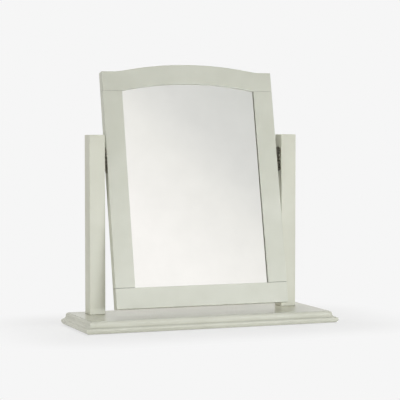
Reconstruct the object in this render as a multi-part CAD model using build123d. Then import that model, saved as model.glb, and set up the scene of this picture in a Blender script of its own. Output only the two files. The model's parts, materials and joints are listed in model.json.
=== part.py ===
from build123d import *
import os
from math import cos, radians, sin, sqrt

# A swing dressing-table mirror: a moulded base board, two square posts, and a framed glass with an
# arched top that tilts between the posts on a pair of friction pivots with pierced scroll plates.
# Sizes are in millimetres and degrees. X runs across, the front faces -Y and Z is up.
# The origin is on the table top, under the middle of the whole mirror as it stands at rest.
# The frame is drawn upright about its pivot line and then leaned back to its rest tilt.

# Base board
base_depth = 218
base_thickness = 28
base_end_margin = 52
moulding_reach = 17.5
step_height = 1
ovolo_reach = 5.5
ovolo_height = 6
quirk_height = 2
cove_reach = 8
cove_height = 5.8
cove_hollow = 1.5
nose_lip_height = 0.8
nose_height = 9
nose_undercut = 5.2
back_edge_chamfer = 1

# Felt pads under the base board
pad_radius = 12
pad_thickness = 1.5
pad_inset = 36

# Posts
post_width = 40
post_depth = 40
post_back_margin = 33
post_above_pivot = 62.5
post_edge_radius = 2
post_end_radius = 1.5

# Tilting of the frame between the posts
pivot_rise = 375.5
pivot_gap = 8
foot_clearance = 9
rest_tilt = 11.6

# Mirror frame
frame_width = 452
frame_thickness = 22
stile_width = 50.5
top_rail_width = 49
bottom_rail_width = 51
shoulder_rise = 221
shoulder_length = 28
arch_rise = 18.6
sweep_radius = 155
outer_edge_radius = 1.5
joint_edge_radius = 1.2

# Glass, retaining beads and back panel
lip_thickness = 3
lip_overlap = 8
glass_thickness = 4
glass_clearance = 1
bead_clearance = 0.2
panel_thickness = 3
panel_overlap = 18
panel_clearance = 0.5

# Dowels
dowel_radius = 4
dowel_length = 40
dowel_chamfer = 0.8
dowel_fit = 0.1
dowel_end_gap = 1
post_dowel_spacing = 24
post_dowel_in_base = 14
frame_dowel_spacing = 20
frame_dowel_edge = 10

# Bolts that hold the posts down
bolt_radius = 3
bolt_head_radius = 7.5
bolt_head_height = 3
bolt_tip = 3
bolt_fit = 0.3
socket_radius = 2
socket_depth = 2
counterbore_radius = 9
counterbore_depth = 8
washer_radius = 8.5
washer_thickness = 1.5
insert_radius = 5
insert_length = 18
insert_fit = 0.05

# Wood screws of the scroll plates and of the back panel
screw_radius = 1.5
screw_length = 16
screw_head_radius = 3
screw_head_height = 1.6
screw_point_length = 3
screw_point_radius = 0.3
screw_fit = 0.05

# Pivot movement: bolt, washers and nut
pivot_radius = 3
pivot_fit = 0.05
pivot_tip = 1.5
pivot_head_radius = 6
pivot_head_height = 3
friction_washer_radius = 5.2
friction_washer_thickness = 1.2
spring_washer_radius = 5.6
spring_washer_thickness = 1.2
spring_washer_slit = 1
nut_flat_radius = 5
nut_height = 5
pocket_clearance = 0.8

# Scroll plates: rings placed across and along from the pivot
plate_thickness = 1.6
plate_centre_radius = 7.6
boss_radius = 5.5
screw_pad_radius = 4.4
scroll_slit = 1.4
scroll_slit_turn = 45
volute_eye_share = 0.4
volute_tail_width = 1.4
post_volute_radius = 7.5
post_volute_bore = 5.6
post_volute_across = 9.2
post_volute_along = 21.4
post_scroll_radius = 6.2
post_scroll_bore = 4.8
post_scroll_across = 9.6
post_scroll_along = 9
post_stem_width = 4
post_screw_along = 18.5
post_finial_radius = 3
post_finial_along = 28.5
frame_volute_radius = 5.2
frame_volute_bore = 3.7
frame_volute_across = 5.2
frame_volute_along = 20.2
frame_scroll_radius = 4.7
frame_scroll_bore = 3.2
frame_scroll_across = 5.7
frame_scroll_along = 10.6
frame_stem_width = 2.8
frame_screw_along = 27
frame_finial_radius = 2.4
frame_finial_along = 29.4

# Where the back panel's screws stand, as shares of the opening
side_screw_shares = (0.06, 0.36, 0.64, 0.94)
rail_screw_shares = (-0.32, 0, 0.32)

# Spare length by which every cutter runs past the face that it opens
overrun = 1

# Turns and counts
quarter_turn = 90
half_turn = 180
hexagon_sides = 6

# Places worked out from the sizes above
base_width = frame_width + 2 * (pivot_gap + post_width + base_end_margin)
base_top = pad_thickness + base_thickness
post_height = pivot_rise + post_above_pivot
post_x = frame_width / 2 + pivot_gap + post_width / 2
pivot_z = base_top + pivot_rise
frame_half = frame_width / 2
frame_front = -frame_thickness / 2
frame_back = frame_thickness / 2
foot_drop = pivot_rise - foot_clearance

# The arch: a shallow crown that sweeps into the flat shoulders through a hollow curve
arch_half = frame_half - shoulder_length
crown_radius = (arch_half**2 + arch_rise**2) / (2 * arch_rise) - sweep_radius
crown_top = shoulder_rise + arch_rise
crown_centre = crown_top - crown_radius
turn_share = crown_radius / (crown_radius + sweep_radius)
turn_x = arch_half * turn_share
turn_z = crown_centre + sqrt(crown_radius**2 - turn_x**2)

# The leaning crown reaches past the back of the base, so the base lies a little before the middle
post_to_back = post_back_margin + post_depth / 2
lean = radians(rest_tilt)
crown_back = (crown_top - outer_edge_radius) * sin(lean) + (frame_back - outer_edge_radius) * cos(lean)
base_y = -max(crown_back + outer_edge_radius - post_to_back, 0) / 2
post_y = base_y + base_depth / 2 - post_to_back

# The opening inside the frame, with its top concentric with the crown
opening_half = frame_half - stile_width
opening_bottom = bottom_rail_width - foot_drop
opening_radius = crown_radius - top_rail_width
joint_rise = crown_centre + sqrt(opening_radius**2 - opening_half**2)

# Depths behind the front of the frame
glass_front = frame_front + lip_thickness
glass_back = glass_front + glass_thickness
panel_front = frame_back - panel_thickness

# Heights of the pivot movement, counted from the frame's side towards the post
boss_height = (pivot_gap - 2 * plate_thickness - friction_washer_thickness - pivot_fit) / 2
friction_start = plate_thickness + boss_height + pivot_fit
post_boss_start = friction_start + friction_washer_thickness
nut_top = -pivot_fit - spring_washer_thickness
nut_bottom = nut_top - nut_height
pivot_end = nut_bottom - pivot_tip
pocket_radius = nut_flat_radius * 2 / sqrt(3) + pocket_clearance
pocket_depth = pocket_clearance - pivot_end

# Where the posts stand, and their dowels before and behind the bolt
post_feet = [(-post_x, post_y), (post_x, post_y)]
post_dowel_start = base_top - post_dowel_in_base
post_dowel_steps = (-post_dowel_spacing / 2, post_dowel_spacing / 2)

# Placings of what stands still and of what tilts
at_pivot = Pos(0, post_y, pivot_z)
at_tilt = at_pivot * Rotation(-rest_tilt, 0, 0)
at_frame_side = Plane.YZ.offset(frame_half)
from_bottom = (Align.CENTER, Align.CENTER, Align.MIN)
from_top = (Align.CENTER, Align.CENTER, Align.MAX)


def rod(radius, start, end, x=0, y=0):
    """A round bar along Z from start to end."""
    return Pos(x, y, start) * Cylinder(radius, end - start, align=from_bottom)


def ring_bar(outer, inner, start, end):
    """A round sleeve along Z from start to end."""
    return rod(outer, start, end) - rod(inner, start - overrun, end + overrun)


def dowel(start):
    """A beech dowel with chamfered ends, along Z."""
    pin = rod(dowel_radius, start, start + dowel_length)
    return chamfer(pin.edges().filter_by(GeomType.CIRCLE), dowel_chamfer)


def dowel_hole(start):
    """The hole for a dowel, with room for glue at both ends."""
    return rod(dowel_radius + dowel_fit, start - dowel_end_gap, start + dowel_length + dowel_end_gap)


def wood_screw(extra=0):
    """A countersunk screw along -Z with the top of its head at zero, or its hole when given extra room."""
    point_start = screw_point_length - screw_length
    head = Cone(screw_radius + extra, screw_head_radius + extra, screw_head_height, align=from_bottom)
    point = Cone(screw_point_radius + extra, screw_radius + extra, screw_point_length, align=from_bottom)
    shank = rod(screw_radius + extra, point_start, -screw_head_height)
    return Pos(0, 0, -screw_head_height) * head + shank + Pos(0, 0, -screw_length) * point


def slab(face, front, back):
    """A flat outline in X and Z, given thickness from front to back along Y."""
    return extrude(Plane.XZ.offset(-back) * face, amount=back - front, dir=(0, -1, 0))


def arched_outline(margin):
    """The outline of the frame's opening, grown by a margin on all sides."""
    half = opening_half + margin
    bottom = opening_bottom - margin
    radius = opening_radius + margin
    spring = crown_centre + sqrt(radius**2 - half**2)
    return make_face(
        [
            Line((-half, bottom), (half, bottom)),
            Line((half, bottom), (half, spring)),
            ThreePointArc((half, spring), (0, crown_centre + radius), (-half, spring)),
            Line((-half, spring), (-half, bottom)),
        ]
    )


# Base board


def moulded_half(span):
    """Half of the base board's cross-section, from its middle to a moulded edge."""
    half = span / 2
    top_edge = (half - moulding_reach, base_thickness)
    step_end = (top_edge[0], top_edge[1] - step_height)
    ovolo_end = (step_end[0] + ovolo_reach, step_end[1] - ovolo_height)
    quirk_end = (ovolo_end[0], ovolo_end[1] - quirk_height)
    cove_end = (quirk_end[0] + cove_reach, quirk_end[1] - cove_height)
    lip_end = (cove_end[0], cove_end[1] - nose_lip_height)
    nose = (half, nose_height)
    foot = (half - nose_undercut, 0)
    return make_face(
        [
            Line((0, base_thickness), top_edge),
            Line(top_edge, step_end),
            TangentArc(step_end, ovolo_end, tangent=(1, 0)),
            Line(ovolo_end, quirk_end),
            SagittaArc(quirk_end, cove_end, -cove_hollow),
            Line(cove_end, lip_end),
            TangentArc(nose, lip_end, tangent=(0, 1)),
            TangentArc(nose, foot, tangent=(0, -1)),
            Line(foot, (0, 0)),
            Line((0, 0), (0, base_thickness)),
        ]
    )


def plain_half(span):
    """Half of the base board's cross-section, from its middle to the plain back edge."""
    half = span / 2
    return make_face(
        Polyline(
            (0, 0),
            (half, 0),
            (half, base_thickness - back_edge_chamfer),
            (half - back_edge_chamfer, base_thickness),
            (0, base_thickness),
            close=True,
        )
    )


def make_base_board():
    """Board moulded along its front and ends, which meet in mitred corners, with a plain back edge."""
    front_half = mirror(moulded_half(base_depth), about=Plane.YZ)
    end_half = moulded_half(base_width)
    depth_section = front_half + plain_half(base_depth)
    width_section = end_half + mirror(end_half, about=Plane.YZ)
    across = extrude(Plane.YZ * depth_section, amount=base_width / 2, both=True)
    along = extrude(Plane.XZ * width_section, amount=base_depth / 2, both=True)
    board = Pos(0, base_y, pad_thickness) * (across & along)
    for x, y in post_feet:
        board -= rod(bolt_radius + bolt_fit, 0, base_top + overrun, x, y)
        board -= rod(counterbore_radius, 0, pad_thickness + counterbore_depth, x, y)
        for step in post_dowel_steps:
            board -= Pos(x, y + step, 0) * dowel_hole(post_dowel_start)
    return board


def make_felt_pads():
    """Round pads near the corners of the base board."""
    x = base_width / 2 - pad_inset
    y = base_depth / 2 - pad_inset
    places = [(px, base_y + py) for px in (-x, x) for py in (-y, y)]
    return [rod(pad_radius, 0, pad_thickness, px, py) for px, py in places]


# Posts


def make_right_post():
    """Square post with eased edges, bored for its bolt, dowels, pivot bolt and plate screws."""
    blank = Box(post_width, post_depth, post_height, align=from_bottom)
    blank = fillet(blank.edges().filter_by(Axis.Z), post_edge_radius)
    ends = blank.faces().sort_by(Axis.Z)
    blank = fillet(ends[0].edges() + ends[-1].edges(), post_end_radius)
    post = Pos(post_x, post_y, base_top) * blank
    tip = base_top + insert_length
    post -= rod(insert_radius + insert_fit, base_top - overrun, tip, post_x, post_y)
    post -= rod(bolt_radius + bolt_fit, tip - overrun, tip + bolt_tip + bolt_fit, post_x, post_y)
    for step in post_dowel_steps:
        post -= Pos(post_x, post_y + step, 0) * dowel_hole(post_dowel_start)
    recess = rod(
        pivot_head_radius + bolt_fit, pivot_gap - overrun, pivot_gap + pivot_head_height + bolt_fit
    )
    post -= at_pivot * (at_frame_side * recess)
    for hole in post_plate_screws(screw_fit):
        post -= at_pivot * (at_frame_side * hole)
    return post


def make_post_bolts():
    """Flat-headed bolts with a hexagon socket, driven up from under the base board."""
    seat = pad_thickness + counterbore_depth - washer_thickness
    bolts = []
    for x, y in post_feet:
        bolt = rod(bolt_head_radius, seat - bolt_head_height, seat)
        bolt += rod(bolt_radius, seat, base_top + insert_length + bolt_tip)
        socket = RegularPolygon(socket_radius, side_count=hexagon_sides, major_radius=False)
        bolt -= Pos(0, 0, seat - bolt_head_height) * extrude(socket, amount=socket_depth)
        bolts.append(Pos(x, y, 0) * bolt)
    return bolts


def make_post_washers():
    """Flat washers in the counterbores under the base board."""
    seat = pad_thickness + counterbore_depth
    washer = ring_bar(washer_radius, bolt_radius + bolt_fit, seat - washer_thickness, seat)
    return [Pos(x, y, 0) * washer for x, y in post_feet]


def make_post_inserts():
    """Threaded sleeves sunk into the lower ends of the posts."""
    sleeve = ring_bar(insert_radius, bolt_radius + insert_fit, base_top, base_top + insert_length)
    return [Pos(x, y, 0) * sleeve for x, y in post_feet]


def make_post_dowels():
    """Dowels that keep the posts from turning on the base board."""
    pin = dowel(post_dowel_start)
    return [Pos(x, y + step, 0) * pin for x, y in post_feet for step in post_dowel_steps]


# Mirror frame, drawn upright about the pivot line


def hollow_for_glass(piece):
    """Cuts the opening, the rebate for glass and beads, and the recess for the back panel."""
    piece -= slab(arched_outline(0), frame_front - overrun, frame_back + overrun)
    piece -= slab(arched_outline(lip_overlap), glass_front, frame_back + overrun)
    piece -= slab(arched_outline(panel_overlap), panel_front, frame_back + overrun)
    return piece


def frame_dowel_places():
    """X of the dowels in the right-hand joints of the frame."""
    outer = frame_half - frame_dowel_edge
    return [outer - frame_dowel_spacing, outer]


def frame_dowel_starts():
    """Height of the lower end of the dowels in the lower and upper joints of the frame."""
    return [opening_bottom - dowel_length / 2, joint_rise - dowel_length / 2]


def bore_for_dowels(piece):
    """Bores the dowel holes of all four joints."""
    for x in frame_dowel_places():
        for start in frame_dowel_starts():
            hole = dowel_hole(start)
            piece -= Pos(x, 0, 0) * hole
            piece -= Pos(-x, 0, 0) * hole
    return piece


def bore_for_panel_screws(piece):
    """Bores the holes for the screws that hold the back panel."""
    for place in panel_screw_places():
        piece -= place * wood_screw(screw_fit)
    return piece


def make_top_rail():
    """Full-width rail: flat shoulders that sweep up into a shallow arch, with a concentric inner edge."""
    left_shoulder = (-frame_half, shoulder_rise)
    right_shoulder = (frame_half, shoulder_rise)
    outline = make_face(
        [
            Line((-frame_half, joint_rise), (frame_half, joint_rise)),
            Line((frame_half, joint_rise), right_shoulder),
            Line(right_shoulder, (arch_half, shoulder_rise)),
            TangentArc((arch_half, shoulder_rise), (turn_x, turn_z), tangent=(-1, 0)),
            ThreePointArc((turn_x, turn_z), (0, crown_top), (-turn_x, turn_z)),
            TangentArc((-arch_half, shoulder_rise), (-turn_x, turn_z), tangent=(1, 0)),
            Line((-arch_half, shoulder_rise), left_shoulder),
            Line(left_shoulder, (-frame_half, joint_rise)),
        ]
    )
    rail = slab(outline, frame_front, frame_back)
    corners = rail.edges().filter_by(Axis.Y).group_by(Axis.X)
    shoulder_corners = [group.sort_by(Axis.Z)[-1] for group in (corners[0], corners[-1])]
    rail = fillet(shoulder_corners, outer_edge_radius)
    above_joint = joint_rise + joint_edge_radius
    outer = [e for e in rail.edges().filter_by(Axis.Y, reverse=True) if e.center().Z > above_joint]
    rail = fillet(outer, outer_edge_radius)
    rail -= slab(arched_outline(0), frame_front - overrun, frame_back + overrun)
    front_edges = rail.faces().sort_by(Axis.Y)[0].edges()
    joint_edges = front_edges.filter_by(Axis.X).group_by(Axis.Z)[0]
    inner_arch = front_edges.filter_by(GeomType.CIRCLE).sort_by(Axis.Z)[0]
    rail = fillet([inner_arch, *joint_edges], joint_edge_radius)
    return bore_for_panel_screws(bore_for_dowels(hollow_for_glass(rail)))


def make_bottom_rail():
    """Full-width straight rail with eased edges."""
    blank = Box(frame_width, frame_thickness, bottom_rail_width, align=from_top)
    rail = Pos(0, 0, opening_bottom) * blank
    upper = rail.edges().group_by(Axis.Z)[-1]
    rail = fillet([e for e in rail.edges() if e not in upper], outer_edge_radius)
    upper = rail.faces().sort_by(Axis.Z)[-1].edges()
    rail = fillet(upper, joint_edge_radius)
    return bore_for_panel_screws(bore_for_dowels(hollow_for_glass(rail)))


def make_right_stile():
    """Upright between the rails, with a pocket for the pivot nut in its outer side."""
    height = joint_rise - opening_bottom
    blank = Box(stile_width, frame_thickness, height, align=(Align.MAX, Align.CENTER, Align.MIN))
    stile = Pos(frame_half, 0, opening_bottom) * blank
    stile = fillet(stile.edges().filter_by(Axis.Z), outer_edge_radius)
    ends = stile.faces().sort_by(Axis.Z)
    stile = fillet(ends[0].edges() + ends[-1].edges(), joint_edge_radius)
    stile = bore_for_panel_screws(bore_for_dowels(hollow_for_glass(stile)))
    stile -= at_frame_side * rod(pocket_radius, -pocket_depth, overrun)
    for hole in frame_plate_screws(screw_fit):
        stile -= at_frame_side * hole
    return stile


def make_frame_dowels():
    """Two dowels in each of the four joints."""
    return [
        Pos(side * x, 0, 0) * dowel(start)
        for side in (-1, 1)
        for x in frame_dowel_places()
        for start in frame_dowel_starts()
    ]


def make_mirror_glass():
    """Silvered glass with the arched outline of the rebate."""
    return slab(arched_outline(lip_overlap - glass_clearance), glass_front, glass_back)


def make_beads():
    """Four strips in the rebate that press the glass against the lip: top, bottom, left and right."""
    strip = slab(arched_outline(lip_overlap - bead_clearance), glass_back, panel_front)
    strip -= slab(arched_outline(0), glass_back - overrun, panel_front + overrun)
    beads = {}
    above = Pos(0, 0, joint_rise) * Box(frame_width, frame_width, frame_width, align=from_bottom)
    below = Pos(0, 0, opening_bottom) * Box(frame_width, frame_width, frame_width, align=from_top)
    beads["top_bead"] = strip & above
    beads["bottom_bead"] = strip & below
    for name, end in (("left_bead", Align.MAX), ("right_bead", Align.MIN)):
        room = Box(
            frame_width,
            frame_width,
            joint_rise - opening_bottom - 2 * bead_clearance,
            align=(end, Align.CENTER, Align.MIN),
        )
        beads[name] = strip & (Pos(0, 0, opening_bottom + bead_clearance) * room)
    return beads


def panel_screw_places():
    """Places of the back panel's screws: heads flush with the back, shanks running forwards."""
    margin = (lip_overlap + panel_overlap) / 2
    face = frame_back
    drive = Rotation(-quarter_turn, 0, 0)
    places = []
    for share in side_screw_shares:
        z = opening_bottom + share * (joint_rise - opening_bottom)
        for side in (-1, 1):
            places.append(Pos(side * (opening_half + margin), face, z) * drive)
    for share in rail_screw_shares:
        x = share * 2 * opening_half
        radius = opening_radius + margin
        places.append(Pos(x, face, crown_centre + sqrt(radius**2 - x**2)) * drive)
        places.append(Pos(x, face, opening_bottom - margin) * drive)
    return places


def make_back_panel():
    """Thin panel let in flush with the back of the frame."""
    panel = slab(arched_outline(panel_overlap - panel_clearance), panel_front, frame_back)
    return bore_for_panel_screws(panel)


def make_panel_screws():
    """Countersunk screws round the back panel."""
    return [place * wood_screw() for place in panel_screw_places()]


# Pivot movement, drawn with its axis along Z: zero is the frame's side and the post is above


def open_ring(radius, bore, across, along):
    """A scroll: a ring that is slit on the side that faces away from the pivot."""
    slit_length = radius - bore + overrun
    slit = Pos((radius + bore) / 2, 0) * Rectangle(slit_length, scroll_slit)
    scroll = Circle(radius) - Circle(bore) - Rotation(0, 0, scroll_slit_turn) * slit
    return Pos(across, along) * scroll


def volute(radius, bore, across, along):
    """A scroll with a round eye that a short tail holds in its middle."""
    eye = Circle(bore * volute_eye_share)
    tail = Rectangle((radius + bore) / 2, volute_tail_width, align=(Align.MAX, Align.CENTER))
    return open_ring(radius, bore, across, along) + Pos(across, along) * (eye + tail)


def scroll_plate(
    volute_radius, volute_bore, volute_across, volute_along,
    scroll_radius, scroll_bore, scroll_across, scroll_along,
    stem_width, screw_along, finial_radius, finial_along,
):
    """Outline of a pierced plate: four volutes and four smaller scrolls about a disc and a stem."""
    quarter = volute(volute_radius, volute_bore, volute_across, volute_along)
    quarter += open_ring(scroll_radius, scroll_bore, scroll_across, scroll_along)
    half = quarter + mirror(quarter, about=Plane.YZ)
    plate = half + mirror(half, about=Plane.XZ)
    plate += Circle(plate_centre_radius)
    plate += Rectangle(stem_width, 2 * finial_along)
    for end in (-1, 1):
        plate += Pos(0, end * screw_along) * Circle(screw_pad_radius)
        plate += Pos(0, end * finial_along) * Circle(finial_radius)
    return plate


def frame_plate_screws(extra=0):
    """The two screws of the frame's plate, or their holes when given extra room."""
    screw = Pos(0, 0, plate_thickness) * wood_screw(extra)
    return [Pos(0, end * frame_screw_along, 0) * screw for end in (-1, 1)]


def post_plate_screws(extra=0):
    """The two screws of the post's plate, or their holes when given extra room."""
    screw = Pos(0, 0, pivot_gap - plate_thickness) * Rotation(half_turn, 0, 0) * wood_screw(extra)
    return [Pos(0, end * post_screw_along, 0) * screw for end in (-1, 1)]


def make_frame_plate():
    """Narrow scroll plate on the frame's side, with a raised boss that turns on the pivot bolt."""
    outline = scroll_plate(
        frame_volute_radius, frame_volute_bore, frame_volute_across, frame_volute_along,
        frame_scroll_radius, frame_scroll_bore, frame_scroll_across, frame_scroll_along,
        frame_stem_width, frame_screw_along, frame_finial_radius, frame_finial_along,
    )
    plate = extrude(outline, amount=plate_thickness)
    plate += rod(boss_radius, 0, plate_thickness + boss_height)
    plate -= rod(pivot_radius + pivot_fit, -overrun, pivot_gap)
    for hole in frame_plate_screws(screw_fit):
        plate -= hole
    return plate


def make_post_plate():
    """Wide scroll plate on the post's inner face, with a boss that carries the friction washer."""
    outline = scroll_plate(
        post_volute_radius, post_volute_bore, post_volute_across, post_volute_along,
        post_scroll_radius, post_scroll_bore, post_scroll_across, post_scroll_along,
        post_stem_width, post_screw_along, post_finial_radius, post_finial_along,
    )
    plate = Pos(0, 0, pivot_gap - plate_thickness) * extrude(outline, amount=plate_thickness)
    plate += rod(boss_radius, post_boss_start, pivot_gap)
    plate -= rod(pivot_radius + pivot_fit, 0, pivot_gap + overrun)
    for hole in post_plate_screws(screw_fit):
        plate -= hole
    return plate


def make_pivot_bolt():
    """Headed pivot bolt: its head lies in the post and its shank carries the frame plate."""
    return rod(pivot_radius, pivot_end, pivot_gap) + rod(
        pivot_head_radius, pivot_gap, pivot_gap + pivot_head_height
    )


def make_friction_washer():
    """Washer between the two bosses, which holds the mirror at any tilt."""
    inner = pivot_radius + pivot_fit
    return ring_bar(friction_washer_radius, inner, friction_start, post_boss_start)


def make_spring_washer():
    """Split washer under the lock nut."""
    washer = ring_bar(spring_washer_radius, pivot_radius + pivot_fit, nut_top, -pivot_fit)
    from_axis = (Align.MIN, Align.CENTER, Align.CENTER)
    return washer - Box(spring_washer_radius, spring_washer_slit, pivot_gap, align=from_axis)


def make_lock_nut():
    """Hexagon nut on the inner end of the pivot bolt, hidden in the stile's pocket."""
    blank = RegularPolygon(nut_flat_radius, side_count=hexagon_sides, major_radius=False)
    nut = Pos(0, 0, nut_bottom) * extrude(blank, amount=nut_height)
    return nut - rod(pivot_radius + pivot_fit, nut_bottom - overrun, nut_top + overrun)


# Putting the nodes together


def group(solids, place=Pos(0, 0, 0)):
    """Separate solids that share one node."""
    return Compound(children=[place * solid for solid in solids])


def add_pair(nodes, name, right):
    """A right-hand piece and its mirror image on the left."""
    nodes["right_" + name] = right
    nodes["left_" + name] = mirror(right, about=Plane.YZ)


nodes = {}
nodes["base_board"] = make_base_board()
nodes["felt_pads"] = group(make_felt_pads())
nodes["post_bolts"] = group(make_post_bolts())
nodes["post_bolt_washers"] = group(make_post_washers())
nodes["post_inserts"] = group(make_post_inserts())
nodes["post_dowels"] = group(make_post_dowels())
add_pair(nodes, "post", make_right_post())

nodes["top_rail"] = at_tilt * make_top_rail()
nodes["bottom_rail"] = at_tilt * make_bottom_rail()
nodes["frame_dowels"] = group(make_frame_dowels(), at_tilt)
nodes["mirror_glass"] = at_tilt * make_mirror_glass()
nodes["back_panel"] = at_tilt * make_back_panel()
nodes["back_panel_screws"] = group(make_panel_screws(), at_tilt)
for bead_name, bead in make_beads().items():
    nodes[bead_name] = at_tilt * bead
add_pair(nodes, "stile", at_tilt * make_right_stile())

standing = at_pivot * at_frame_side.location
tilting = at_tilt * at_frame_side.location
add_pair(nodes, "post_plate", standing * make_post_plate())
add_pair(nodes, "pivot_bolt", standing * make_pivot_bolt())
add_pair(nodes, "friction_washer", standing * make_friction_washer())
add_pair(nodes, "spring_washer", standing * make_spring_washer())
add_pair(nodes, "lock_nut", standing * make_lock_nut())
add_pair(nodes, "post_plate_screws", group(post_plate_screws(), standing))
add_pair(nodes, "frame_plate", tilting * make_frame_plate())
add_pair(nodes, "frame_plate_screws", group(frame_plate_screws(), tilting))

os.makedirs("parts", exist_ok=True)
for name, shape in nodes.items():
    export_step(shape, f"parts/{name}.step")
print(f"{len(nodes)} nodes, base {base_width} x {base_depth}, crown top {crown_top} above the pivot")
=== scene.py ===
# %% [markdown]
# # A swing dressing-table mirror
# The real object is a painted wooden mirror: a moulded base board carries two square posts, and a framed
# glass with an arched top tilts between them on dark brass pivots. The solid model already holds every
# piece at its true size, so this lesson dresses it: camera first, then each finish, then the small things
# that repeat, and the studio last.

# %% Load the solid model
import json
import math
import random

import bmesh
import bpy
from mathutils import Matrix, Vector


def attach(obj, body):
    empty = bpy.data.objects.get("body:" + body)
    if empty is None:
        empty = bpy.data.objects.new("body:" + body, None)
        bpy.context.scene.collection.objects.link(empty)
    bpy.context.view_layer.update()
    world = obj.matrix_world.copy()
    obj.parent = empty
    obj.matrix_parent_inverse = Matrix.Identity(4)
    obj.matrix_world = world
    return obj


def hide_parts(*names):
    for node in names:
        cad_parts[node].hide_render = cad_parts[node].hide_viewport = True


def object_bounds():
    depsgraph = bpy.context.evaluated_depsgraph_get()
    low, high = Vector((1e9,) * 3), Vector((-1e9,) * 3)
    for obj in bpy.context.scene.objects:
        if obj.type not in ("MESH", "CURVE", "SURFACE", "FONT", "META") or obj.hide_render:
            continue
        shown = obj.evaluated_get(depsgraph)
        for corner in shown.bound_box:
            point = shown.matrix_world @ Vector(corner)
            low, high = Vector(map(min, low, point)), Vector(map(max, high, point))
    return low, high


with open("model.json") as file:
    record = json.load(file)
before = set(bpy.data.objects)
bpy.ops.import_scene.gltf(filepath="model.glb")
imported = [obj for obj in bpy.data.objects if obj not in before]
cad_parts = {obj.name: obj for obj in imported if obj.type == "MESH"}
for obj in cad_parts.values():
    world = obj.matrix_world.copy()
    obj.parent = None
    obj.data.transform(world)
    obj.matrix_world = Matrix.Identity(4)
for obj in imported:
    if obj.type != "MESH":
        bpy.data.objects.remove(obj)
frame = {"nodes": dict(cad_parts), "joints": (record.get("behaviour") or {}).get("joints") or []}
cad_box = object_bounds()
nodes = frame["nodes"]

# %% [markdown]
# The camera comes first, because every later judgement is made through it. Fitting the edges of base,
# posts and frame in the photograph gave a long lens, far away, a little above the middle of the mirror
# and off to the left. A long lens keeps the uprights nearly parallel, as the photograph shows them.
# Lengths are thought of in millimetres, because a maker does, and Blender works in metres.

# %% Camera
MM = 0.001
CAMERA_YAW = math.radians(20.98)
CAMERA_PITCH = math.radians(2.866)
CAMERA_DISTANCE = 3840 * MM
CAMERA_LENS = 140
CAMERA_SENSOR = 36
LOOK_AT = Vector((1.2, 2.8, 306.3)) * MM

heading = Vector((
    math.sin(CAMERA_YAW) * math.cos(CAMERA_PITCH),
    math.cos(CAMERA_YAW) * math.cos(CAMERA_PITCH),
    -math.sin(CAMERA_PITCH),
))
camera_data = bpy.data.cameras.new("camera")
camera_data.lens = CAMERA_LENS
camera_data.sensor_width = CAMERA_SENSOR
camera = bpy.data.objects.new("camera", camera_data)
camera.location = LOOK_AT - heading * CAMERA_DISTANCE
camera.rotation_euler = heading.to_track_quat("-Z", "Y").to_euler()
bpy.context.scene.collection.objects.link(camera)
bpy.context.scene.camera = camera
print("camera at", [round(c, 3) for c in camera.location])

# %% [markdown]
# A few helpers carry the rest of the lesson. Colours are picked as sRGB hex values, because a colour
# picker shows them, and the shader wants linear light. A node tree is only nodes with settings, values
# and links, so one function that adds such a node is enough. A Mix node has sockets for several kinds of
# value under the same names, so its sockets for colours are found by number.

# %% Helpers for colours and node trees
MIX_SHARE = 0
MIX_A = 6
MIX_B = 7
MIX_RESULT = 2


def linear(hex_colour):
    """Linear light of an sRGB hex colour, with full alpha."""
    channels = [int(hex_colour[i:i + 2], 16) / 255 for i in (1, 3, 5)]
    curve = [c / 12.92 if c <= 0.04045 else ((c + 0.055) / 1.055) ** 2.4 for c in channels]
    return (*curve, 1.0)


def per_mm(size):
    """Texture scale at which one feature of a pattern measures this many millimetres."""
    return 1 / (size * MM)


def fill(tree, node, values=None, links=None):
    """Sets the plain values of a node's sockets and its incoming links."""
    for socket, value in (values or {}).items():
        node.inputs[socket].default_value = value
    for socket, source in (links or {}).items():
        tree.links.new(source, node.inputs[socket])


def add(tree, kind, settings=None, values=None, links=None, stops=None):
    """Adds one node with its settings, values and links and, on a colour ramp, its stops."""
    node = tree.nodes.new(kind)
    for name, value in (settings or {}).items():
        setattr(node, name, value)
    fill(tree, node, values, links)
    if stops:
        elements = node.color_ramp.elements
        while len(elements) < len(stops):
            elements.new(0.5)
        for element, (position, colour) in zip(elements, stops):
            element.position = position
            element.color = linear(colour)
    return node


print("white is", linear("#FFFFFF")[:3], "and a 2 mm pattern has scale", per_mm(2))

# %% [markdown]
# Every finish starts alike: an empty material gets its surface shader and the coordinates of its pattern.
# Object coordinates are used, because a pattern on them stays with its piece when the mirror tilts.

# %% Helpers for materials


def empty_material(name):
    """A material without nodes, and its tree."""
    material = bpy.data.materials.new(name)
    material.use_nodes = True
    material.node_tree.nodes.clear()
    return material, material.node_tree


def new_material(name):
    """A material; its tree, its surface shader and the coordinates of its pattern."""
    material, tree = empty_material(name)
    shader = add(tree, "ShaderNodeBsdfPrincipled")
    add(tree, "ShaderNodeOutputMaterial", links={"Surface": shader.outputs["BSDF"]})
    place = add(tree, "ShaderNodeTexCoord").outputs["Object"]
    return material, tree, shader, place


def dress(material, *names):
    """Gives a finish to solid nodes by filling their material slots."""
    for name in names:
        for slot in nodes[name].material_slots:
            slot.material = material


print("slots to dress:", sum(len(node.material_slots) for node in nodes.values()))
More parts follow.
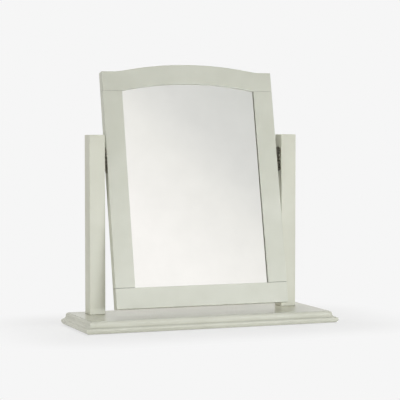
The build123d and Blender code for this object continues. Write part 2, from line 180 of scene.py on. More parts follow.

# %% [markdown]
# The wood is painted with a satin sage grey. Real paint of this kind is sprayed or rolled on sanded
# timber: from arm's length it is even, closer up it has a fine orange-peel stipple, and the long grain of
# the board still shows as faint ridges. The posts and the base carry the same paint, drawn slightly darker
# and yellower than the frame as a painted shade, and the base has a smoother coat, in which the posts are
# reflected.

# %% Tones and sizes of the paint
# A coat is its darker and its lighter tone, and a gloss its lowest and highest roughness. Patterns are in
# millimetres, and the grain is drawn coarser than real grain, so that it shows.
FRAME_COAT = ("#CACBBC", "#D1D2C4")
# The posts and the base carry the frame's paint, drawn darker and yellower as a painted shade.
POST_COAT_PAINTED_SHADE = ("#C9C9B7", "#D0D0BF")
BASE_COAT_PAINTED_SHADE = ("#C4C4B3", "#CBCBBB")
SATIN_GLOSS = (0.34, 0.44)
SMOOTH_GLOSS = (0.22, 0.30)
GRAIN_WIDTH = 2.2
GRAIN_LENGTH = 90
STIPPLE_SIZE = 1.1
CLOUD_SIZE = 110
PAINT_RIDGES = {"Strength": 0.35, "Distance": 0.05 * MM}
PAINT_PEEL = {"Strength": 0.4, "Distance": 0.04 * MM}
print("grain", GRAIN_WIDTH, "by", GRAIN_LENGTH, "mm, stipple", STIPPLE_SIZE, "mm")

# %% [markdown]
# The arrises are drawn a little greyer than the flats, and the joints between boards draw dark lines,
# because light hardly reaches into them; that darkening is painted shade. A picture of these marks would
# have to be drawn for every board. Two nodes find the places by themselves: Bevel gives a rounded normal,
# which leaves the flat one only at an arris, and Ambient Occlusion tells how far neighbours close a place
# in.

# %% Greyer arrises and painted shade in joints
# Painted shade is its greatest share and the distance in millimetres from which neighbours close a place
# in.
PAINT_EDGE = "#BFC0B4"
# Colour of the painted shade laid into joints, lips and the feet of the posts.
JOINT_PAINTED_SHADE = "#5E5F56"
STILE_PAINTED_SHADE = (1.0, 3.0)
BOTTOM_RAIL_PAINTED_SHADE = (1.0, 1.6)
TOP_RAIL_PAINTED_SHADE = (0.1, 1.6)
POST_PAINTED_SHADE = (0.15, 1.6)
BASE_PAINTED_SHADE = (0.05, 1.6)
PAINT_ARRIS = {"radius": 1.6, "on_flat": 0.99, "on_edge": 0.80}
CLOSED_IN = {"From Min": 0.98, "From Max": 0.65}


def edge_share(tree, radius, on_flat, on_edge, most=1.0):
    """Nothing on flats and most on arrises, where a rounded normal leaves the flat one."""
    rounded = add(tree, "ShaderNodeBevel", {"samples": 4}, {"Radius": radius * MM})
    flat = add(tree, "ShaderNodeNewGeometry").outputs["True Normal"]
    facing = add(tree, "ShaderNodeVectorMath", {"operation": "DOT_PRODUCT"},
                 links={0: rounded.outputs[0], 1: flat})
    share = add(tree, "ShaderNodeMapRange",
                values={"From Min": on_flat, "From Max": on_edge, "To Max": most},
                links={"Value": facing.outputs["Value"]})
    return share.outputs[0]


def painted_shade_share(tree, most, reach):
    """Share of painted shade: nothing in the open and most in joints, where neighbours lie within reach."""
    open_sky = add(tree, "ShaderNodeAmbientOcclusion", {"samples": 8}, {"Distance": reach * MM})
    share = add(tree, "ShaderNodeMapRange", values={**CLOSED_IN, "To Max": most},
                links={"Value": open_sky.outputs["AO"]})
    return share.outputs[0]


print("paint is worn within", PAINT_ARRIS["radius"], "mm of an arris")

# %% [markdown]
# The paint mixes two close colours over a broad pattern, greys the arrises, darkens the joints with
# painted shade, and lays the stretched grain and the stipple into the bump. One function makes a paint for
# each direction that a board can run in. The boards of the frame lean back at rest, so their grain is
# leaned back too.

# %% Painted wood
REST_TILT = math.radians(11.6)


def painted_wood(name, grain_axis, painted_shade, lean=0.0, tones=FRAME_COAT, gloss=SATIN_GLOSS):
    """Paint on a board whose grain runs along one axis, leaned back by an angle about X."""
    material, tree, shader, place = new_material(name)
    stretch = [per_mm(GRAIN_WIDTH)] * 3
    stretch["xyz".index(grain_axis)] = per_mm(GRAIN_LENGTH)
    upright = add(tree, "ShaderNodeMapping", values={"Rotation": (lean, 0, 0)}, links={"Vector": place})
    board = add(tree, "ShaderNodeMapping", values={"Scale": stretch},
                links={"Vector": upright.outputs[0]})
    grain = add(tree, "ShaderNodeTexNoise", values={"Scale": 1, "Detail": 3},
                links={"Vector": board.outputs[0]}).outputs["Fac"]
    stipple = add(tree, "ShaderNodeTexNoise", values={"Scale": per_mm(STIPPLE_SIZE), "Detail": 2},
                  links={"Vector": place}).outputs["Fac"]
    cloud = add(tree, "ShaderNodeTexNoise", values={"Scale": per_mm(CLOUD_SIZE), "Detail": 4},
                links={"Vector": place}).outputs["Fac"]
    coat = add(tree, "ShaderNodeValToRGB", links={"Fac": cloud},
               stops=[(0.35, tones[0]), (0.65, tones[1])])
    # The arrises are drawn greyer than the flats.
    greyed_edges = add(tree, "ShaderNodeMix", {"data_type": "RGBA"}, {MIX_B: linear(PAINT_EDGE)},
               {MIX_SHARE: edge_share(tree, **PAINT_ARRIS), MIX_A: coat.outputs["Color"]})
    # Painted shade darkens the paint in joints and recesses, where neighbours close it in.
    shaded_in_joints = add(tree, "ShaderNodeMix", {"data_type": "RGBA"}, {MIX_B: linear(JOINT_PAINTED_SHADE)},
                {MIX_SHARE: painted_shade_share(tree, *painted_shade), MIX_A: greyed_edges.outputs[MIX_RESULT]})
    dullness = add(tree, "ShaderNodeMapRange", values={"To Min": gloss[0], "To Max": gloss[1]},
                   links={"Value": stipple})
    ridges = add(tree, "ShaderNodeBump", values=PAINT_RIDGES, links={"Height": grain})
    peel = add(tree, "ShaderNodeBump", values=PAINT_PEEL,
               links={"Height": stipple, "Normal": ridges.outputs[0]})
    fill(tree, shader, {"IOR": 1.5},
         {"Base Color": shaded_in_joints.outputs[MIX_RESULT], "Roughness": dullness.outputs[0],
          "Normal": peel.outputs[0]})
    return material


base_paint = painted_wood("smooth_paint_on_base_board", "x", BASE_PAINTED_SHADE, 0.0, BASE_COAT_PAINTED_SHADE, SMOOTH_GLOSS)
dress(base_paint, "base_board")
post_paint = painted_wood("satin_paint_on_posts", "z", POST_PAINTED_SHADE, 0.0, POST_COAT_PAINTED_SHADE)
dress(post_paint, "left_post", "right_post")
dress(painted_wood("satin_paint_on_stiles", "z", STILE_PAINTED_SHADE, REST_TILT), "left_stile", "right_stile")
dress(painted_wood("satin_paint_on_top_rail", "x", TOP_RAIL_PAINTED_SHADE, REST_TILT), "top_rail")
dress(painted_wood("satin_paint_on_bottom_rail", "x", BOTTOM_RAIL_PAINTED_SHADE, REST_TILT), "bottom_rail")
print("paints:", [m.name for m in bpy.data.materials if "_paint_on_" in m.name])

# %% [markdown]
# A mirror is a sheet of clear glass whose picture forms on the silver behind it. Seen through four
# millimetres of glass, the silver seems to lie under three behind the lip of the frame, and that
# narrow step is why a dark line runs along the inner edge of the frame, away from the viewer. A slab of
# true glass would show it too, but a plain metal face at the depth where the eye sees it is quieter and
# looks the same in any viewer. So the glass is copied and its front face is pushed back to that depth.

# %% Silvered glass
GLASS_INDEX = 1.52
GLASS_THICKNESS = 4 * MM
SILVER_DEPTH = GLASS_THICKNESS / GLASS_INDEX
MERGE_DISTANCE = 0.01 * MM
FRONT = Vector((0, -math.cos(REST_TILT), math.sin(REST_TILT)))


def silvered_glass():
    """Copy of the glass whose front face lies where its silver is seen."""
    shape = bmesh.new()
    shape.from_mesh(nodes["mirror_glass"].data)
    bmesh.ops.remove_doubles(shape, verts=shape.verts, dist=MERGE_DISTANCE)
    front = max(v.co.dot(FRONT) for v in shape.verts)
    for vertex in shape.verts:
        if front - vertex.co.dot(FRONT) < GLASS_THICKNESS / 2:
            vertex.co -= FRONT * SILVER_DEPTH
    bmesh.ops.recalc_face_normals(shape, faces=shape.faces)
    mesh = bpy.data.meshes.new("mirror_silver")
    shape.to_mesh(mesh)
    shape.free()
    piece = bpy.data.objects.new("mirror_silver", mesh)
    bpy.context.scene.collection.objects.link(piece)
    return piece


silver = silvered_glass()
print("silver lies", round(SILVER_DEPTH / MM, 2), "mm behind the lip")

# %% [markdown]
# Silver is the brightest metal there is, so its colour is nearly white, and laid on polished glass it is
# hardly rough at all. A broad haze, which the eye hardly sees, keeps the picture from being too perfect.

# %% Silver
HAZE_SIZE = 60
HAZE_BLUR = {"To Min": 0.0, "To Max": 0.02}


def mirror_silver():
    """Silver under glass: a bright metal with a hardly visible haze."""
    material, tree, shader, place = new_material("silver_under_glass")
    haze = add(tree, "ShaderNodeTexNoise", values={"Scale": per_mm(HAZE_SIZE), "Detail": 3},
               links={"Vector": place}).outputs["Fac"]
    tint = add(tree, "ShaderNodeValToRGB", links={"Fac": haze},
               stops=[(0.3, "#F7F7F5"), (0.7, "#FAFAF8")])
    blur = add(tree, "ShaderNodeMapRange", values=HAZE_BLUR, links={"Value": haze})
    fill(tree, shader, {"Metallic": 1},
         {"Base Color": tint.outputs["Color"], "Roughness": blur.outputs[0]})
    return material


silver.data.materials.append(mirror_silver())
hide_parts("mirror_glass")
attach(silver, "mirror")
print("faces of the silvered glass:", len(silver.data.polygons))

# %% [markdown]
# The pivot plates are antique brass: brass that was darkened in a bath and then rubbed, so that the flats
# stay a dark olive grey and the edges and high spots show some yellow metal. A metal keeps its colour in
# the reflection, so the patina goes into the base colour, and its lighter spots are the smoother ones.

# %% Antique brass
BRASS_PLATES = ("left_post_plate", "right_post_plate", "left_frame_plate", "right_frame_plate")
RUBBED_BRASS = "#C2BA9E"
PATINA_SIZE = 3.0
BRASS_ARRIS = {"radius": 0.5, "on_flat": 0.98, "on_edge": 0.72, "most": 0.6}
BRASS_GLOSS = {"To Min": 0.55, "To Max": 0.35}
BRASS_DENTS = {"Strength": 0.3, "Distance": 0.1 * MM}


def antique_brass():
    """Antique brass: a dark metal, mottled by its patina, with rubbed edges."""
    material, tree, shader, place = new_material("antique_brass")
    patina = add(tree, "ShaderNodeTexNoise", values={"Scale": per_mm(PATINA_SIZE), "Detail": 5},
                 links={"Vector": place}).outputs["Fac"]
    bath = add(tree, "ShaderNodeValToRGB", links={"Fac": patina},
               stops=[(0.3, "#6A675A"), (0.55, "#838072"), (0.8, "#9F9A86")])
    colour = add(tree, "ShaderNodeMix", {"data_type": "RGBA"}, {MIX_B: linear(RUBBED_BRASS)},
                 {MIX_SHARE: edge_share(tree, **BRASS_ARRIS), MIX_A: bath.outputs["Color"]})
    gloss = add(tree, "ShaderNodeMapRange", values=BRASS_GLOSS, links={"Value": patina})
    dents = add(tree, "ShaderNodeBump", values=BRASS_DENTS, links={"Height": patina})
    fill(tree, shader, {"Metallic": 1},
         {"Base Color": colour.outputs[MIX_RESULT], "Roughness": gloss.outputs[0],
          "Normal": dents.outputs[0]})
    return material


brass = antique_brass()
dress(brass, *BRASS_PLATES)
print("brass plates:", len(BRASS_PLATES))

# %% [markdown]
# Bolts, washers and nuts are zinc-plated steel: pale grey with a faint bluish spangle, where the plating
# grew in crystals. One noise drives colour and roughness together, because a crystal that looks lighter
# scatters the light differently too. Real crystals are too fine to see, so they are drawn coarser.

# %% Zinc-plated steel
SPANGLE_SIZE = 1.5
STEEL_GLOSS = {"To Min": 0.28, "To Max": 0.45}


def zinc_steel():
    """Zinc-plated steel: pale grey metal with a faint bluish spangle."""
    material, tree, shader, place = new_material("zinc_plated_steel")
    spangle = add(tree, "ShaderNodeTexNoise", values={"Scale": per_mm(SPANGLE_SIZE), "Detail": 4},
                  links={"Vector": place}).outputs["Fac"]
    colour = add(tree, "ShaderNodeValToRGB", links={"Fac": spangle},
                 stops=[(0.3, "#A9ACAE"), (0.7, "#C6C8C8")])
    gloss = add(tree, "ShaderNodeMapRange", values=STEEL_GLOSS, links={"Value": spangle})
    fill(tree, shader, {"Metallic": 1},
         {"Base Color": colour.outputs["Color"], "Roughness": gloss.outputs[0]})
    return material


steel = zinc_steel()
dress(steel, "post_bolts", "post_bolt_washers", "post_inserts")
for side in ("left", "right"):
    dress(steel, f"{side}_pivot_bolt", f"{side}_spring_washer", f"{side}_lock_nut")
print("steel spangle:", SPANGLE_SIZE, "mm")

# %% [markdown]
# Beads and dowels are raw beech, a warm pale wood with short dark flecks. A picture of wood would need a
# map on every piece and would repeat. Noise runs through a piece as grain does, so the flecks are noise
# that is stretched along the grain. They are drawn longer than real flecks, so that they show.

# %% Beech
FRAME_BEECH = ("frame_dowels", "top_bead", "bottom_bead", "left_bead", "right_bead")
FLECK_WIDTH = 0.8
FLECK_LENGTH = 9
BEECH_PORES = {"Strength": 0.3, "Distance": 0.08 * MM}


def beech(name, lean=0.0):
    """Raw beech: warm pale wood with short dark flecks along the grain."""
    material, tree, shader, place = new_material(name)
    upright = add(tree, "ShaderNodeMapping", values={"Rotation": (lean, 0, 0)}, links={"Vector": place})
    stretch = add(tree, "ShaderNodeMapping",
                  values={"Scale": (per_mm(FLECK_WIDTH), per_mm(FLECK_WIDTH), per_mm(FLECK_LENGTH))},
                  links={"Vector": upright.outputs[0]})
    fleck = add(tree, "ShaderNodeTexNoise", values={"Scale": 1, "Detail": 4},
                links={"Vector": stretch.outputs[0]}).outputs["Fac"]
    colour = add(tree, "ShaderNodeValToRGB", links={"Fac": fleck},
                 stops=[(0.3, "#B98A5C"), (0.55, "#D0A676"), (0.8, "#DDB98C")])
    relief = add(tree, "ShaderNodeBump", values=BEECH_PORES, links={"Height": fleck})
    fill(tree, shader, {"Roughness": 0.6},
         {"Base Color": colour.outputs["Color"], "Normal": relief.outputs[0]})
    return material


dress(beech("beech_of_dowels"), "post_dowels")
dress(beech("beech_of_frame", REST_TILT), *FRAME_BEECH)
print("beech flecks:", FLECK_WIDTH, "by", FLECK_LENGTH, "mm")

# %% [markdown]
# The back of the mirror is hardboard: wood fibre that was cooked and pressed, brown, with pale and dark
# strands that lie in all directions. A distorted noise gives the strands, coarser than real ones so that
# they show, and a broad one the slight differences in shade across a whole sheet.

# %% Hardboard
STRAND_SIZE = 2.5
MOTTLE_SIZE = 45
BOARD_STRANDS = {"Strength": 0.25, "Distance": 0.08 * MM}


def hardboard():
    """Hardboard: pressed brown wood fibre with pale and dark strands, smooth on its outer side."""
    material, tree, shader, place = new_material("hardboard")
    fibres = add(tree, "ShaderNodeTexNoise",
                 values={"Scale": per_mm(STRAND_SIZE), "Detail": 8, "Distortion": 2.5},
                 links={"Vector": place}).outputs["Fac"]
    mottle = add(tree, "ShaderNodeTexNoise", values={"Scale": per_mm(MOTTLE_SIZE), "Detail": 3},
                 links={"Vector": place}).outputs["Fac"]
    strands = add(tree, "ShaderNodeValToRGB", links={"Fac": fibres},
                  stops=[(0.3, "#6B4A2F"), (0.5, "#8A6442"), (0.72, "#A27E58")])
    shade = add(tree, "ShaderNodeValToRGB", links={"Fac": mottle},
                stops=[(0.35, "#E6E2DC"), (0.65, "#FFFFFF")])
    colour = add(tree, "ShaderNodeMix", {"data_type": "RGBA", "blend_type": "MULTIPLY"},
                 {MIX_SHARE: 1.0},
                 {MIX_A: strands.outputs["Color"], MIX_B: shade.outputs["Color"]})
    relief = add(tree, "ShaderNodeBump", values=BOARD_STRANDS, links={"Height": fibres})
    fill(tree, shader, {"Roughness": 0.55},
         {"Base Color": colour.outputs[MIX_RESULT], "Normal": relief.outputs[0]})
    return material


dress(hardboard(), "back_panel")
print("hardboard strands:", STRAND_SIZE, "mm")

# %% [markdown]
# The pads under the base are charcoal wool felt, and the friction washers in the pivots are grey-black
# vulcanised fibre. Both are small and hardly seen, so one noise each is enough, drawn coarser than wool
# and paper fibres are. The felt also gets a soft sheen, because fibres that stand up catch the light at
# its edge.

# %% Felt and fibre
WOOL_SIZE = 0.9
WOOL_NAP = {"Strength": 0.8, "Distance": 0.3 * MM}
PAPER_FLECK_SIZE = 0.7


def felt():
    """Wool felt: matted charcoal fibres, dull with a soft sheen."""
    material, tree, shader, place = new_material("wool_felt")
    wool = add(tree, "ShaderNodeTexNoise",
               values={"Scale": per_mm(WOOL_SIZE), "Detail": 6, "Distortion": 1.5},
               links={"Vector": place}).outputs["Fac"]
    colour = add(tree, "ShaderNodeValToRGB", links={"Fac": wool},
                 stops=[(0.3, "#35342F"), (0.7, "#5A5850")])
    relief = add(tree, "ShaderNodeBump", values=WOOL_NAP, links={"Height": wool})
    fill(tree, shader, {"Roughness": 0.95, "Sheen Weight": 0.3},
         {"Base Color": colour.outputs["Color"], "Normal": relief.outputs[0]})
    return material


def vulcanised_fibre():
    """Vulcanised fibre: hard grey-black paper board with a fine fleck."""
    material, tree, shader, place = new_material("vulcanised_fibre")
    fleck = add(tree, "ShaderNodeTexNoise", values={"Scale": per_mm(PAPER_FLECK_SIZE), "Detail": 4},
                links={"Vector": place}).outputs["Fac"]
    colour = add(tree, "ShaderNodeValToRGB", links={"Fac": fleck},
                 stops=[(0.3, "#33302C"), (0.7, "#45413B")])
    fill(tree, shader, {"Roughness": 0.6}, {"Base Color": colour.outputs["Color"]})
    return material


dress(felt(), "felt_pads")
dress(vulcanised_fibre(), "left_friction_washer", "right_friction_washer")
print("finishes:", len(bpy.data.materials))

# %% [markdown]
# Countersunk screws hold the back and the brass plates. They are all the same shape, so Geometry Nodes
# make one from named sizes. The head is a flat cone, and a cross recess cut into it is what tells a screw
# from a pin. The shank is a long cone below it. A modelled thread would never be seen.

# %% One screw
SCREW_SIZES = {
    "Head radius": 3 * MM,
    "Head height": 1.6 * MM,
    "Shank radius": 1.5 * MM,
    "Point radius": 0.3 * MM,
    "Length": 16 * MM,
    "Recess length": 3.4 * MM,
    "Recess width": 0.9 * MM,
    "Recess depth": 1.0 * MM,
}
HEAD_SIDES = 24
SHANK_SIDES = 16
QUARTER_TURN = math.pi / 2


def screw_head(tree, sizes):
    """A countersunk head whose flat side lies at the origin and has a cross recess."""
    drop = add(tree, "ShaderNodeMath", {"operation": "MULTIPLY"}, {1: -1.0}, {0: sizes["Head height"]})
    cone = add(tree, "GeometryNodeMeshCone", values={"Vertices": HEAD_SIDES},
               links={"Radius Top": sizes["Head radius"], "Radius Bottom": sizes["Shank radius"],
                      "Depth": sizes["Head height"]})
    place = add(tree, "ShaderNodeCombineXYZ", links={"Z": drop.outputs[0]})
    head = add(tree, "GeometryNodeTransform",
               links={"Geometry": cone.outputs["Mesh"], "Translation": place.outputs[0]})
    both_sides = add(tree, "ShaderNodeMath", {"operation": "MULTIPLY"}, {1: 2.0},
                     {0: sizes["Recess depth"]})
    arm_size = add(tree, "ShaderNodeCombineXYZ",
                   links={"X": sizes["Recess length"], "Y": sizes["Recess width"],
                          "Z": both_sides.outputs[0]})
    arm = add(tree, "GeometryNodeMeshCube", links={"Size": arm_size.outputs[0]})
    cross_arm = add(tree, "GeometryNodeTransform", values={"Rotation": (0, 0, QUARTER_TURN)},
                    links={"Geometry": arm.outputs["Mesh"]})
    recess = add(tree, "GeometryNodeMeshBoolean", {"operation": "UNION", "solver": "EXACT"},
                 links={"Mesh 2": cross_arm.outputs[0]})
    tree.links.new(arm.outputs["Mesh"], recess.inputs["Mesh 2"])
    cut = add(tree, "GeometryNodeMeshBoolean", {"operation": "DIFFERENCE", "solver": "EXACT"},
              links={"Mesh 1": head.outputs[0], "Mesh 2": recess.outputs["Mesh"]})
    return cut.outputs["Mesh"]


def screw_shank(tree, sizes):
    """A shank that tapers from the head to its point."""
    length = add(tree, "ShaderNodeMath", {"operation": "SUBTRACT"},
                 links={0: sizes["Length"], 1: sizes["Head height"]})
    cone = add(tree, "GeometryNodeMeshCone", values={"Vertices": SHANK_SIDES},
               links={"Radius Top": sizes["Shank radius"], "Radius Bottom": sizes["Point radius"],
                      "Depth": length.outputs[0]})
    drop = add(tree, "ShaderNodeMath", {"operation": "MULTIPLY"}, {1: -1.0}, {0: sizes["Length"]})
    place = add(tree, "ShaderNodeCombineXYZ", links={"Z": drop.outputs[0]})
    shank = add(tree, "GeometryNodeTransform",
                links={"Geometry": cone.outputs["Mesh"], "Translation": place.outputs[0]})
    return shank.outputs[0]


print("screw sizes in mm:", {name: round(size / MM, 2) for name, size in SCREW_SIZES.items()})

# %% [markdown]
# A tree then sets a copy of the screw on each point of a cloud. Every point knows the axis of its screw
# and a turn about it, because a screwdriver leaves each recess at another angle. The copies are made real
# before they get their material, because an export drops instances.

# %% A tree that sets screws on points


def screw_tree(name, material):
    """Geometry Nodes tree: one screw on each point, along its axis and turned about it."""
    tree = bpy.data.node_groups.new(name, "GeometryNodeTree")
    tree.interface.new_socket("Geometry", in_out="INPUT", socket_type="NodeSocketGeometry")
    for size_name, size in SCREW_SIZES.items():
        socket = tree.interface.new_socket(size_name, in_out="INPUT", socket_type="NodeSocketFloat")
        socket.default_value = size
    tree.interface.new_socket("Geometry", in_out="OUTPUT", socket_type="NodeSocketGeometry")
    sizes = add(tree, "NodeGroupInput").outputs
    screw = add(tree, "GeometryNodeJoinGeometry", links={"Geometry": screw_head(tree, sizes)})
    tree.links.new(screw_shank(tree, sizes), screw.inputs["Geometry"])
    axis = add(tree, "GeometryNodeInputNamedAttribute", {"data_type": "FLOAT_VECTOR"}, {"Name": "axis"})
    turn = add(tree, "GeometryNodeInputNamedAttribute", {"data_type": "FLOAT"}, {"Name": "turn"})
    aim = add(tree, "FunctionNodeAlignRotationToVector", {"axis": "Z"},
              links={"Vector": axis.outputs[0]})
    spin = add(tree, "ShaderNodeCombineXYZ", links={"Z": turn.outputs[0]})
    driven = add(tree, "FunctionNodeRotateRotation", {"rotation_space": "LOCAL"},
                 links={"Rotation": aim.outputs[0], "Rotate By": spin.outputs[0]})
    copies = add(tree, "GeometryNodeInstanceOnPoints",
                 links={"Points": sizes["Geometry"], "Instance": screw.outputs[0],
                        "Rotation": driven.outputs[0]})
    real = add(tree, "GeometryNodeRealizeInstances", links={"Geometry": copies.outputs[0]})
    finish = add(tree, "GeometryNodeSetMaterial", values={"Material": material},
                 links={"Geometry": real.outputs[0]})
    add(tree, "NodeGroupOutput", links={"Geometry": finish.outputs[0]})
    return tree


print("sizes that the screw tree takes:", len(SCREW_SIZES))

# %% [markdown]
# The points are not typed in: each solid screw's own mesh says where its head is. Every screw is an
# island of its node's mesh. The vertices that lie furthest along its axis are the rim of the head, and
# the middle of the rim is the point. The points are sorted, so that they come in the same order each run.

# %% Find the heads
RIM_DEPTH = 0.05 * MM
OUT_LEFT = Vector((-1, 0, 0))
OUT_RIGHT = Vector((1, 0, 0))
BACK_SCREWS = [("back_panel_screws", -FRONT)]
FRAME_PLATE_SCREWS = [("left_frame_plate_screws", OUT_LEFT), ("right_frame_plate_screws", OUT_RIGHT)]
POST_PLATE_SCREWS = [("left_post_plate_screws", OUT_RIGHT), ("right_post_plate_screws", OUT_LEFT)]


def head_places(node_name, axis):
    """Middle of each screw head in a node, found from the islands of its mesh."""
    shape = bmesh.new()
    shape.from_mesh(nodes[node_name].data)
    bmesh.ops.remove_doubles(shape, verts=shape.verts, dist=MERGE_DISTANCE)
    left = set(shape.verts)
    places = []
    while left:
        island = set()
        edge_of_search = [left.pop()]
        while edge_of_search:
            vertex = edge_of_search.pop()
            island.add(vertex)
            near = {edge.other_vert(vertex) for edge in vertex.link_edges} & left
            left -= near
            edge_of_search.extend(near)
        top = max(v.co.dot(axis) for v in island)
        rim = [v.co for v in island if top - v.co.dot(axis) < RIM_DEPTH]
        low = [min(c) for c in zip(*rim)]
        high = [max(c) for c in zip(*rim)]
        places.append((Vector(low) + Vector(high)) / 2)
    shape.free()
    return sorted(places, key=tuple)


for node_name, axis in BACK_SCREWS + FRAME_PLATE_SCREWS + POST_PLATE_SCREWS:
    print(node_name, "heads:", len(head_places(node_name, axis)))

# %% [markdown]
# Each body gets its own cloud of points and keeps the tree's result as a plain mesh, so that the screws of
# the mirror tilt with it and those of the posts stay. They take the place of the plain solid screws.

# %% Set the screws
SCREW_SEED = 7


def screw_points(name, heads):
    """A cloud with one point for each screw head, which knows the screw's axis and its turn."""
    random.seed(SCREW_SEED)
    spots = [(place, axis) for node_name, axis in heads for place in head_places(node_name, axis)]
    axes = [c for place, axis in spots for c in axis]
    turns = [random.uniform(0, QUARTER_TURN) for spot in spots]
    cloud = bpy.data.meshes.new(name)
    cloud.from_pydata([place for place, axis in spots], [], [])
    cloud.attributes.new("axis", "FLOAT_VECTOR", "POINT").data.foreach_set("vector", axes)
    cloud.attributes.new("turn", "FLOAT", "POINT").data.foreach_set("value", turns)
    carrier = bpy.data.objects.new(name, cloud)
    bpy.context.scene.collection.objects.link(carrier)
    return carrier


def set_screws(name, heads, material, body):
    """Runs the screw tree on a cloud of head places and keeps its result as a plain mesh."""
    carrier = screw_points(name + "_points", heads)
    tree = screw_tree(name + "_tree", material)
    modifier = carrier.modifiers.new("screws", "NODES")
    modifier.node_group = tree
    for item in tree.interface.items_tree:
        if item.in_out == "INPUT" and item.name in SCREW_SIZES:
            modifier[item.identifier] = SCREW_SIZES[item.name]
    depsgraph = bpy.context.evaluated_depsgraph_get()
    mesh = bpy.data.meshes.new_from_object(carrier.evaluated_get(depsgraph))
    carrier.modifiers.remove(modifier)
    bpy.data.objects.remove(carrier)
    mesh.name = name
    piece = bpy.data.objects.new(name, mesh)
    bpy.context.scene.collection.objects.link(piece)
    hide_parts(*[node_name for node_name, axis in heads])
    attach(piece, body)
    print(name, "triangles:", sum(len(p.vertices) - 2 for p in mesh.polygons))


set_screws("back_screws", BACK_SCREWS, steel, "mirror")
set_screws("frame_plate_screws", FRAME_PLATE_SCREWS, brass, "mirror")
set_screws("post_plate_screws", POST_PLATE_SCREWS, brass, "stand")

# %% [markdown]
# The studio is a pale floor that runs into an equally pale backdrop. The photograph's background is one
# even tone, so the camera sees that tone wherever the floor is far from the object, and real paper with a
# soft shadow near it. Reflections see the same tone, so that gloss and metal show a pale room.

# %% Floor
# The sheet is measured in metres.
BACKDROP = "#F6F6F6"
FLOOR_PAPER = "#F0F0EF"
FLOOR_SIZE = 16
FADE_START = 20 * MM
FADE_END = 260 * MM
SHADOW_SHARE = 0.3


def stage_mesh(name, size, material):
    """A square sheet with one material, linked into the scene."""
    half = size / 2
    corners = [(-half, -half, 0), (half, -half, 0), (half, half, 0), (-half, half, 0)]
    mesh = bpy.data.meshes.new(name)
    mesh.from_pydata(corners, [], [range(len(corners))])
    sheet = bpy.data.objects.new(name, mesh)
    sheet.data.materials.append(material)
    bpy.context.scene.collection.objects.link(sheet)
    return sheet


def plain_sight(tree):
    """One for rays that show the studio itself: to the camera, in a reflection or through glass."""
    ray = add(tree, "ShaderNodeLightPath").outputs
    sight = ray["Is Camera Ray"]
    for kind in ("Is Glossy Ray", "Is Transmission Ray"):
        either = add(tree, "ShaderNodeMath", {"operation": "MAXIMUM"}, links={0: sight, 1: ray[kind]})
        sight = either.outputs[0]
    return sight


def floor_paper():
    """Matt paper near the object that fades into the flat tone of the backdrop for the camera."""
    material, tree = empty_material("backdrop_paper")
    place = add(tree, "ShaderNodeTexCoord").outputs["Object"]
    folded = add(tree, "ShaderNodeVectorMath", {"operation": "ABSOLUTE"}, links={0: place})
    outside = add(tree, "ShaderNodeVectorMath", {"operation": "SUBTRACT"}, {1: tuple(cad_box[1])},
                  {0: folded.outputs[0]})
    beyond = add(tree, "ShaderNodeVectorMath", {"operation": "MAXIMUM"}, {1: (0, 0, 0)},
                 {0: outside.outputs[0]})
    reach = add(tree, "ShaderNodeVectorMath", {"operation": "LENGTH"}, links={0: beyond.outputs[0]})
    fade = add(tree, "ShaderNodeMapRange", {"interpolation_type": "SMOOTHSTEP"},
               {"From Min": FADE_START, "From Max": FADE_END, "To Min": 1 - SHADOW_SHARE},
               {"Value": reach.outputs["Value"]})
    share = add(tree, "ShaderNodeMath", {"operation": "MULTIPLY"},
                links={0: fade.outputs[0], 1: plain_sight(tree)})
    paper = add(tree, "ShaderNodeBsdfDiffuse", values={"Color": linear(FLOOR_PAPER)})
    glow = add(tree, "ShaderNodeEmission", values={"Color": linear(BACKDROP), "Strength": 1.0})
    blend = add(tree, "ShaderNodeMixShader",
                links={0: share.outputs[0], 1: paper.outputs[0], 2: glow.outputs[0]})
    add(tree, "ShaderNodeOutputMaterial", links={"Surface": blend.outputs[0]})
    return material


stage_mesh("floor", FLOOR_SIZE, floor_paper())
print("floor:", FLOOR_SIZE, "m square")

# %% [markdown]
# The mirror needs something to look at. Seen from the camera it looks up and to the right, and in the
# photograph it shows a soft fade from white to grey. A large screen with that fade stands where the
# camera's line of sight goes after the mirror, and only reflections see it.

# %% Screen
# The sheet and its distance are measured in metres.
SCREEN_SIZE = 2.4
SCREEN_DISTANCE = 1.8
SCREEN_SLOPE = (1.0, 0.75, 0.0)
SCREEN_FADE = {"From Min": -550 * MM, "From Max": 550 * MM}
SCREEN_TONES = [(0.22, "#FEFCFA"), (0.51, "#F1F0ED"), (0.69, "#DFDFDD"), (0.95, "#D4D5D2")]
PIVOT_TO_MIDDLE = 60 * MM


def screen_fabric():
    """A lit screen that fades from white to grey across one diagonal; only reflections see it."""
    material, tree = empty_material("studio_screen")
    place = add(tree, "ShaderNodeTexCoord").outputs["Object"]
    slope = add(tree, "ShaderNodeVectorMath", {"operation": "DOT_PRODUCT"}, {1: SCREEN_SLOPE}, {0: place})
    along = add(tree, "ShaderNodeMapRange", values=SCREEN_FADE, links={"Value": slope.outputs["Value"]})
    tone = add(tree, "ShaderNodeValToRGB", links={"Fac": along.outputs[0]}, stops=SCREEN_TONES)
    glow = add(tree, "ShaderNodeEmission", values={"Strength": 1.0}, links={"Color": tone.outputs["Color"]})
    clear = add(tree, "ShaderNodeBsdfTransparent")
    ray = add(tree, "ShaderNodeLightPath").outputs
    blend = add(tree, "ShaderNodeMixShader",
                links={0: ray["Is Glossy Ray"], 1: clear.outputs[0], 2: glow.outputs[0]})
    add(tree, "ShaderNodeOutputMaterial", links={"Surface": blend.outputs[0]})
    return material


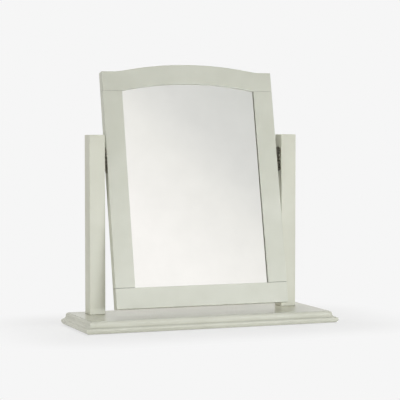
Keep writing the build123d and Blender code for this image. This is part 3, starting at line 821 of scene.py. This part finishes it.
def face_the_mirror(sheet, distance):
    """Puts a sheet where the mirror, as the camera sees it, looks."""
    up_the_glass = Vector((0, math.sin(REST_TILT), math.cos(REST_TILT)))
    middle = Vector(frame["joints"][0]["pos_m"]) - PIVOT_TO_MIDDLE * up_the_glass
    sight = (middle - camera.location).normalized()
    bounce = sight.reflect(FRONT)
    side = bounce.cross(Vector((0, 0, 1))).normalized()
    if side.x < 0:
        side = -side
    rise = bounce.cross(side).normalized()
    if rise.z < 0:
        rise = -rise
    turn = Matrix((side, rise, side.cross(rise))).transposed().to_4x4()
    sheet.matrix_world = Matrix.Translation(middle + bounce * distance) @ turn


screen = stage_mesh("screen", SCREEN_SIZE, screen_fabric())
face_the_mirror(screen, SCREEN_DISTANCE)
print("screen at", [round(c, 2) for c in screen.matrix_world.translation])

# %% [markdown]
# The world has two faces. What the camera and reflections see is the backdrop's even tone. What lights the
# object is a dome that is brighter on some sides than on others, which is only a faint fill: each side's
# part grows with how far a direction points to that side.

# %% World
# Each row is an axis, the side of it that the light comes from, and the strength.
DOME = (
    ("Y", -1.0, 0.05),
    ("Y", 1.0, 0.15),
    ("X", -1.0, 0.1),
    ("X", 1.0, 0.3),
    ("Z", 1.0, 0.15),
)

world = bpy.data.worlds.new("studio")
bpy.context.scene.world = world
world.use_nodes = True
sky = world.node_tree
sky.nodes.clear()
direction = add(sky, "ShaderNodeTexCoord").outputs["Generated"]
way = add(sky, "ShaderNodeSeparateXYZ", links={0: direction}).outputs
parts = []
for axis, side, strength in DOME:
    facing = add(sky, "ShaderNodeMath", {"operation": "MULTIPLY", "use_clamp": True},
                 {1: side}, {0: way[axis]})
    part = add(sky, "ShaderNodeMath", {"operation": "MULTIPLY"}, {1: strength}, {0: facing.outputs[0]})
    parts.append(part.outputs[0])
level = parts[0]
for part in parts[1:]:
    level = add(sky, "ShaderNodeMath", {"operation": "ADD"}, links={0: level, 1: part}).outputs[0]
dome = add(sky, "ShaderNodeBackground", values={"Color": linear("#FFFFFF")}, links={"Strength": level})
backdrop = add(sky, "ShaderNodeBackground", values={"Color": linear(BACKDROP), "Strength": 1.0})
either = add(sky, "ShaderNodeMixShader",
             links={0: plain_sight(sky), 1: dome.outputs[0], 2: backdrop.outputs[0]})
add(sky, "ShaderNodeOutputWorld", links={"Surface": either.outputs[0]})
print("sides of the dome:", len(DOME))

# %% [markdown]
# Soft boxes do most of the lighting, because the photograph's tones tell where its light came from. The
# frame leans back and grows lighter towards its foot, so a low strip shines up at it. The left sides of
# the posts are only a little darker than their fronts, so a box on the left lights them. The base is
# light even under the frame, so a box behind and above reaches it there. The strip is a little cooler
# than the rest and the key a little warmer, as the foot and the top of the frame are in the photograph.

# %% Lights
# Places, aims and sizes are in metres.
WHITE = "#FFFFFF"
COOL_WHITE = "#F0F4FF"
WARM_WHITE = "#FFFBEC"
SOFT_BOXES = {
    "key": {"place": (0.85, -2.75, 0.82), "aim": (0, 0, 0.2), "width": 1.0, "height": 1.0,
            "watts": 9.6, "colour": WARM_WHITE},
    "left_box": {"place": (-1.8, -0.35, 0.45), "aim": (0, 0, 0.3), "width": 1.6, "height": 0.8,
                 "watts": 9.2, "colour": WHITE},
    "top_box": {"place": (0.6, -0.8, 2.4), "aim": (0, 0, 0.1), "width": 1.2, "height": 0.8,
                "watts": 12, "colour": WHITE},
    "low_strip": {"place": (0.2, -1.3, 0.09), "aim": (0, 0, 0.12), "width": 1.4, "height": 0.14,
                  "watts": 9.4, "colour": COOL_WHITE},
    "back_box": {"place": (0, 1.2, 1.6), "aim": (0, 0, 0.05), "width": 1.6, "height": 0.8,
                 "watts": 17.5, "colour": WHITE},
}


def soft_box(name, place, aim, width, height, watts, colour):
    """A rectangular soft box that faces a point and stays out of the picture."""
    data = bpy.data.lights.new(name, "AREA")
    data.shape = "RECTANGLE"
    data.size = width
    data.size_y = height
    data.energy = watts
    data.color = linear(colour)[:3]
    lamp = bpy.data.objects.new(name, data)
    lamp.visible_camera = False
    lamp.location = place
    lamp.rotation_euler = (Vector(aim) - Vector(place)).to_track_quat("-Z", "Y").to_euler()
    bpy.context.scene.collection.objects.link(lamp)


for box_name, box in SOFT_BOXES.items():
    soft_box(box_name, **box)
bpy.context.scene.view_settings.view_transform = "Standard"
